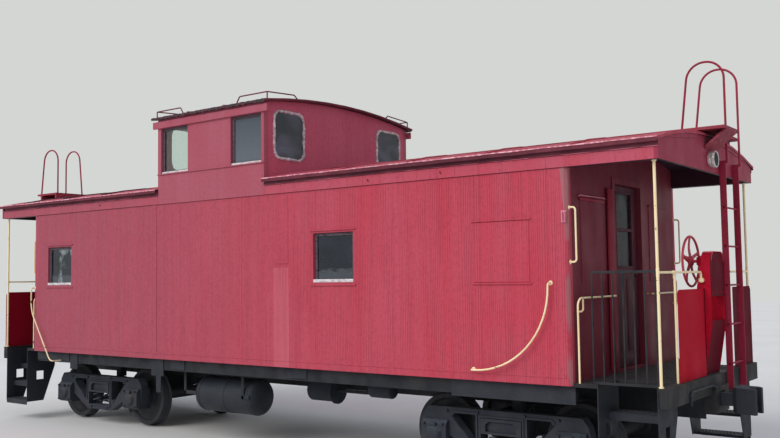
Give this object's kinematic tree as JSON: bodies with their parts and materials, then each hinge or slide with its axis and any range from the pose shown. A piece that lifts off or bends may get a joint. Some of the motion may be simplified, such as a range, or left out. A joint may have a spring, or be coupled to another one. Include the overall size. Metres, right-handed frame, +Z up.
{
  "type": "railway caboose with cupola",
  "caption": "Steel railway caboose with an offset cupola, open porches, roof ladders, hand brakes and two swivelling trucks on flanged wheels",
  "frame": {"origin": "On the ground under the middle of the car, at the height of the wheel flanges' lowest points", "axes": "X along the car with end A at +X, Y across it, Z up"},
  "size_m": [12.02, 3.208, 4.6563],
  "materials": {
    "body_red": "faded crimson paint on grooved steel",
    "deep_red": "darker crimson paint",
    "roof_red": "weathered crimson paint",
    "frame_black": "dull black paint with dust",
    "cast_black": "dark cast steel",
    "wheel_steel": "dark rolled steel",
    "rail_yellow": "cream yellow paint with black scuffs",
    "gate_black": "black paint",
    "window_silver": "brushed, a little dull",
    "glass": "dusty",
    "gasket_grey": "weathered sealant",
    "lamp_grey": "grey housing",
    "deck_black": "worn black",
    "floor_wood": "worn boards",
    "locker_tan": "tan paint",
    "seat_tan": "worn covering"
  },
  "bodies": {
    "carbody": {"side_wall_near": "body_red", "side_wall_far": "body_red", "letterboards": "body_red", "cupola_sides": "body_red", "cupola_ends": "body_red", "end_wall_a": "deep_red", "end_wall_b": "deep_red", "end_fascias": "deep_red", "end_panels": "deep_red", "brake_housings": "deep_red", "ladders": "deep_red", "ladder_rungs": "deep_red", "roof_hoops": "deep_red", "roof_a": "roof_red", "roof_b": "roof_red", "cupola_roof": "roof_red", "roof_walkways": "roof_red", "cupola_rails": "roof_red", "centre_sill": "frame_black", "body_bolsters": "frame_black", "cross_bearers": "frame_black", "side_sills": "frame_black", "sill_skirts": "frame_black", "air_reservoir": "frame_black", "brake_cylinder": "frame_black", "steps_a": "frame_black", "steps_b": "frame_black", "couplers": "frame_black", "porch_rails": "rail_yellow", "grab_irons": "rail_yellow", "step_gate": "gate_black", "window_frames": "window_silver", "window_glass": "glass", "cupola_gaskets": "gasket_grey", "marker_lamps": "lamp_grey", "porch_decks": "deck_black", "cabin_floor": "floor_wood", "cupola_lockers": "locker_tan", "cupola_seats": "seat_tan"},
    "truck_a": {"truck_frames_a": "cast_black", "truck_bolster_a": "cast_black", "brake_beams_a": "cast_black"},
    "truck_b": {"truck_frames_b": "cast_black", "truck_bolster_b": "cast_black", "brake_beams_b": "cast_black"},
    "axle_a1": {"wheelset_a1": "wheel_steel"},
    "axle_a2": {"wheelset_a2": "wheel_steel"},
    "axle_b1": {"wheelset_b1": "wheel_steel"},
    "axle_b2": {"wheelset_b2": "wheel_steel"},
    "porch_door_a": {"door_a": "deep_red", "door_glass_a": "glass"},
    "porch_door_b": {"door_b": "deep_red", "door_glass_b": "glass"},
    "hand_brake_a": {"brake_wheel_a": "deep_red"},
    "hand_brake_b": {"brake_wheel_b": "deep_red"}
  },
  "joints": [
    {"name": "truck_a_swivel", "type": "hinge", "parent": "carbody", "child": "truck_a", "pos_m": [3.58, 0, 0.655], "axis": [0, 0, 1], "range_deg": [-6, 6]},
    {"name": "axle_a1_turn", "type": "hinge", "parent": "truck_a", "child": "axle_a1", "pos_m": [4.418, 0, 0.444], "axis": [0, 1, 0], "continuous": true},
    {"name": "axle_a2_turn", "type": "hinge", "parent": "truck_a", "child": "axle_a2", "pos_m": [2.742, 0, 0.444], "axis": [0, 1, 0], "continuous": true},
    {"name": "door_a_hinge", "type": "hinge", "parent": "carbody", "child": "porch_door_a", "pos_m": [4.5497, -0.366, 2.12], "axis": [0, 0, 1], "range_deg": [0, 90]},
    {"name": "hand_brake_a_turn", "type": "hinge", "parent": "carbody", "child": "hand_brake_a", "pos_m": [5.33, 0.035, 2.33], "axis": [1, 0, 0], "continuous": true},
    {"name": "truck_b_swivel", "type": "hinge", "parent": "carbody", "child": "truck_b", "pos_m": [-3.58, 0, 0.655], "axis": [0, 0, 1], "range_deg": [-6, 6]},
    {"name": "axle_b1_turn", "type": "hinge", "parent": "truck_b", "child": "axle_b1", "pos_m": [-2.742, 0, 0.444], "axis": [0, 1, 0], "continuous": true},
    {"name": "axle_b2_turn", "type": "hinge", "parent": "truck_b", "child": "axle_b2", "pos_m": [-4.418, 0, 0.444], "axis": [0, 1, 0], "continuous": true},
    {"name": "door_b_hinge", "type": "hinge", "parent": "carbody", "child": "porch_door_b", "pos_m": [-4.5497, 0.366, 2.12], "axis": [0, 0, 1], "range_deg": [0, 90]},
    {"name": "hand_brake_b_turn", "type": "hinge", "parent": "carbody", "child": "hand_brake_b", "pos_m": [-5.33, -0.035, 2.33], "axis": [1, 0, 0], "continuous": true}
  ]
}
